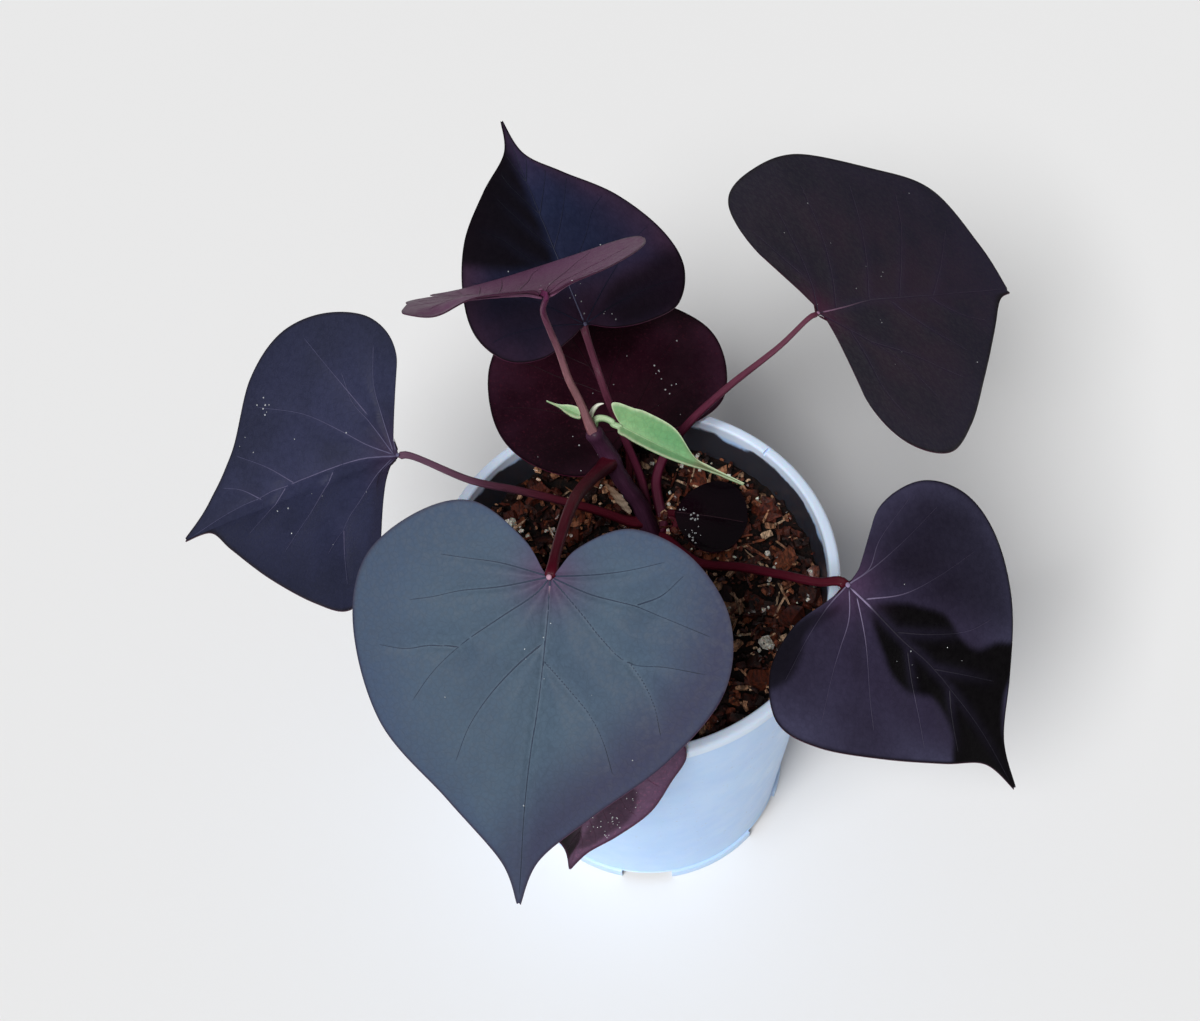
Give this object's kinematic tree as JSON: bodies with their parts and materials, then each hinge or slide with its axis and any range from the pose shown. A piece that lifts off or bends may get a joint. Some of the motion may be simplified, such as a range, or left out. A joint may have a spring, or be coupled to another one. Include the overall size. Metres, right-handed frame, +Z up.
{
  "type": "potted sweet potato vine",
  "caption": "Young ornamental sweet potato vine with dark heart-shaped leaves on long stalks, growing in a round nursery pot of bark mix.",
  "frame": {"origin": "middle of the pot's base, at the height where it meets the table", "axes": "+Z up the pot's axis, -Y towards the plant's front, where the largest leaf hangs, +X to the right of that"},
  "size_m": [0.2214, 0.1871, 0.2009],
  "materials": {
    "pot_plastic": "pale bluish white moulded polypropylene, satin",
    "mix": "damp dark peat and bark fines",
    "bark": "damp red-brown bark",
    "perlite": "dull white expanded grains",
    "slate_leaf": "slate-blue bloom on a matte blade",
    "indigo_leaf": "dark indigo blade with a soft sheen",
    "plum_leaf": "near-black plum blade with a soft sheen",
    "wine_leaf": "wet dark wine-red blade",
    "mauve_leaf": "dusty mauve young blade",
    "green_leaf": "soft green young blade",
    "stalk": "burgundy, grooved, satin",
    "young_stalk": "pink-tan, satin",
    "sheath": "dry papery tan"
  },
  "bodies": {
    "root": {"pot": "pot_plastic", "potting_mix": "mix", "bark_chip_1": "bark", "bark_chip_2": "bark", "bark_chip_3": "bark", "bark_chip_4": "bark", "bark_chip_5": "bark", "bark_chip_6": "bark", "bark_chip_7": "bark", "bark_chip_8": "bark", "bark_chip_9": "bark", "bark_chip_10": "bark", "bark_chip_11": "bark", "bark_chip_12": "bark", "perlite_1": "perlite", "perlite_2": "perlite", "perlite_3": "perlite", "main_stem": "stalk", "stalk_front": "stalk", "stalk_left": "stalk", "stalk_rear": "stalk", "stalk_rear_lower": "stalk", "stalk_right_rear": "stalk", "stalk_right_front": "stalk", "stalk_young": "young_stalk", "stalk_trailing": "stalk", "stalk_low": "stalk", "stalk_green": "green_leaf", "bud": "green_leaf", "sheath": "sheath", "leaf_front": "slate_leaf", "leaf_left": "indigo_leaf", "leaf_rear": "indigo_leaf", "leaf_rear_lower": "wine_leaf", "leaf_right_rear": "plum_leaf", "leaf_right_front": "plum_leaf", "leaf_young": "mauve_leaf", "leaf_trailing": "mauve_leaf", "leaf_low": "wine_leaf", "leaf_green": "green_leaf", "leaf_tiny": "green_leaf"}
  },
  "joints": []
}
